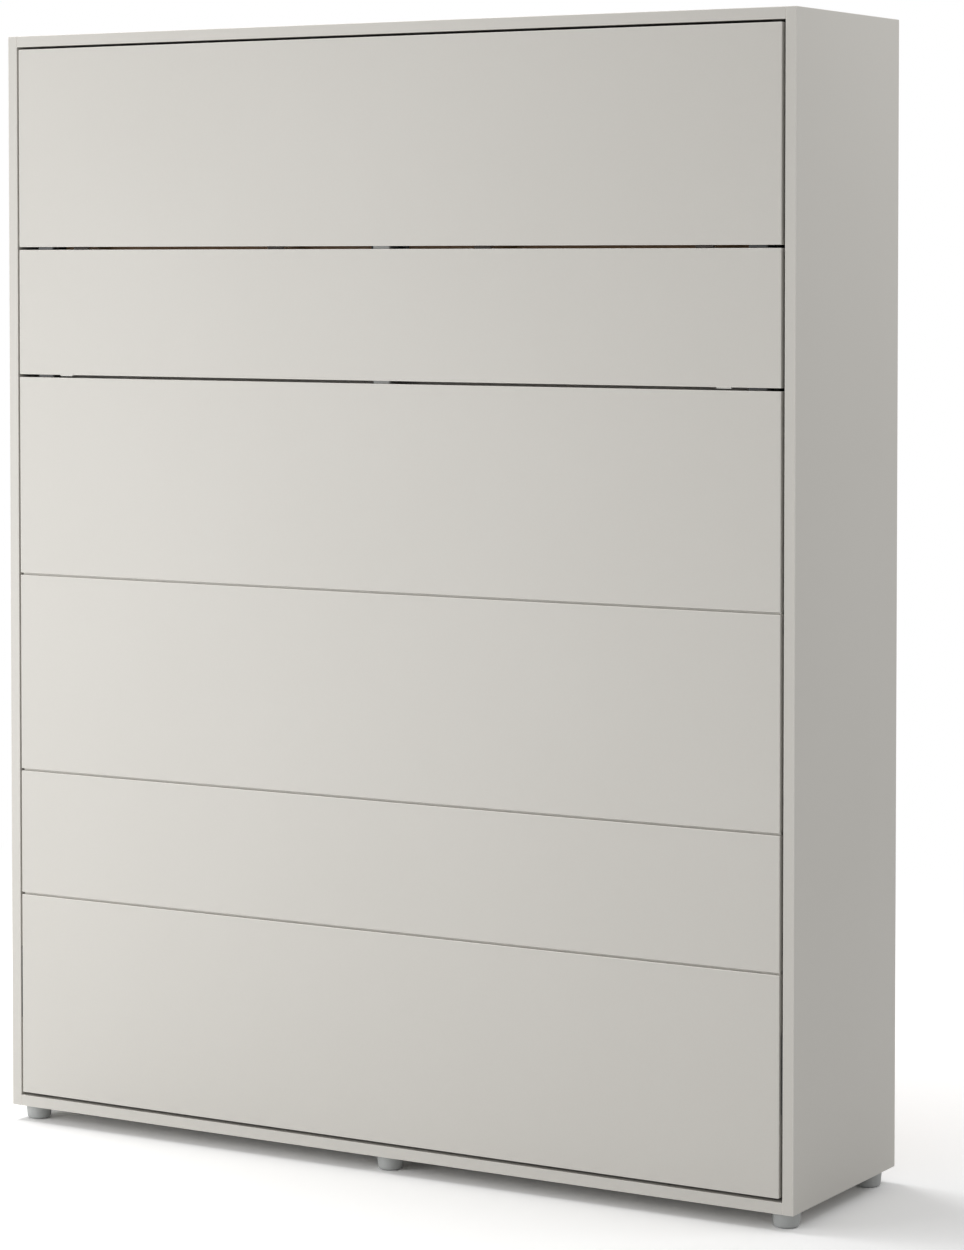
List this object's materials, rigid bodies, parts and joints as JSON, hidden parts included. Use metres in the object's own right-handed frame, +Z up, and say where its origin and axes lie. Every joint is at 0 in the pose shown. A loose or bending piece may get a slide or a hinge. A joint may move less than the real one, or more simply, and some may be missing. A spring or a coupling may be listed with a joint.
{
  "type": "wall bed",
  "caption": "Closed vertical wall bed: a laminate cabinet on round feet with a boarded front that tips down as the bed, a hinged board as its leg and gas struts inside.",
  "frame": {"origin": "on the floor, under the middle of the closed cabinet", "axes": "+X to the right of someone facing the front, +Y towards the wall, +Z up"},
  "size_m": [1.76, 0.44, 2.196],
  "materials": {
    "carcass_laminate": "matte",
    "front_laminate": "matte",
    "back_sheet": "matte",
    "dowel_wood": "matte",
    "foot_plastic": "satin",
    "zinc_steel": "satin",
    "bush_plastic": "satin",
    "frame_steel": "satin",
    "center_steel": "satin",
    "hinge_black": "satin",
    "slat_wood": "satin",
    "holder_plastic": "matte",
    "mattress_fabric": "matte",
    "strap_webbing": "matte",
    "stop_rubber": "matte",
    "glide_plastic": "matte",
    "strut_black": "satin",
    "strut_chrome": "polished"
  },
  "bodies": {
    "cabinet": {"side_panel_left": "carcass_laminate", "side_panel_right": "carcass_laminate", "top_panel": "carcass_laminate", "bottom_panel": "carcass_laminate", "back_rail_top": "carcass_laminate", "back_rail_middle": "carcass_laminate", "back_rail_bottom": "carcass_laminate", "stop_block_left": "carcass_laminate", "stop_block_right": "carcass_laminate", "back_sheet_upper": "back_sheet", "back_sheet_lower": "back_sheet", "carcass_dowels": "dowel_wood", "foot_front_left": "foot_plastic", "foot_front_middle": "foot_plastic", "foot_front_right": "foot_plastic", "foot_back_left": "foot_plastic", "foot_back_middle": "foot_plastic", "foot_back_right": "foot_plastic", "foot_screws": "zinc_steel", "hardware_screws": "zinc_steel", "hinge_plate_left": "frame_steel", "hinge_plate_right": "frame_steel", "strut_anchor_left": "zinc_steel", "strut_anchor_right": "zinc_steel", "hinge_bush_left": "bush_plastic", "hinge_bush_right": "bush_plastic", "stop_pads": "stop_rubber"},
    "bed": {"front_board_one": "front_laminate", "front_board_three": "front_laminate", "front_board_four": "front_laminate", "front_board_five": "front_laminate", "front_board_six": "front_laminate", "side_rail_left": "frame_steel", "side_rail_right": "frame_steel", "head_tube": "frame_steel", "foot_tube": "frame_steel", "lever_plate_left": "frame_steel", "lever_plate_right": "frame_steel", "mattress_bow_head": "frame_steel", "mattress_bow_foot": "frame_steel", "center_rail": "center_steel", "slats_left": "slat_wood", "slats_right": "slat_wood", "slat_holders": "holder_plastic", "mattress": "mattress_fabric", "mattress_strap_lower": "strap_webbing", "mattress_strap_upper": "strap_webbing", "panel_screws": "zinc_steel", "pivot_pin_left": "zinc_steel", "pivot_pin_right": "zinc_steel", "leg_hinge_fixed_leaves": "hinge_black"},
    "leg": {"leg_board": "front_laminate", "leg_hinge_moving_leaves": "hinge_black", "leg_hinge_pins": "hinge_black", "leg_glide_left": "glide_plastic", "leg_glide_right": "glide_plastic"},
    "strut_cylinder_left": {"strut_cylinder_left": "strut_black"},
    "strut_rod_left": {"strut_rod_left": "strut_chrome"},
    "strut_cylinder_right": {"strut_cylinder_right": "strut_black"},
    "strut_rod_right": {"strut_rod_right": "strut_chrome"}
  },
  "joints": [
    {"name": "bed_tilt", "type": "hinge", "parent": "cabinet", "child": "bed", "pos_m": [0, -0.189, 0.2838], "axis": [1, 0, 0], "range_deg": [0, 90]},
    {"name": "leg_fold", "type": "hinge", "parent": "bed", "child": "leg", "pos_m": [0, -0.2174, 1.76993], "axis": [-1, 0, 0], "range_deg": [0, 90]},
    {"name": "strut_swing_left", "type": "hinge", "parent": "cabinet", "child": "strut_cylinder_left", "pos_m": [-0.838, 0.011, 0.8838], "axis": [1, 0, 0], "range_deg": [0, 2.41]},
    {"name": "strut_slide_left", "type": "slide", "parent": "strut_cylinder_left", "child": "strut_rod_left", "axis": [0, 0.1945, 0.9809], "range_m": [0, 0.1815]},
    {"name": "strut_swing_right", "type": "hinge", "parent": "cabinet", "child": "strut_cylinder_right", "pos_m": [0.838, 0.011, 0.8838], "axis": [1, 0, 0], "range_deg": [0, 2.41]},
    {"name": "strut_slide_right", "type": "slide", "parent": "strut_cylinder_right", "child": "strut_rod_right", "axis": [0, 0.1945, 0.9809], "range_m": [0, 0.1815]}
  ],
  "couplings": [
    {"joint": "leg_fold", "follows": "bed_tilt", "ratio": 1},
    {"joint": "strut_swing_left", "follows": "bed_tilt", "ratio": 0.026754},
    {"joint": "strut_slide_left", "follows": "bed_tilt", "m_per_rad": 0.11553},
    {"joint": "strut_swing_right", "follows": "bed_tilt", "ratio": 0.026754},
    {"joint": "strut_slide_right", "follows": "bed_tilt", "m_per_rad": 0.11553}
  ]
}
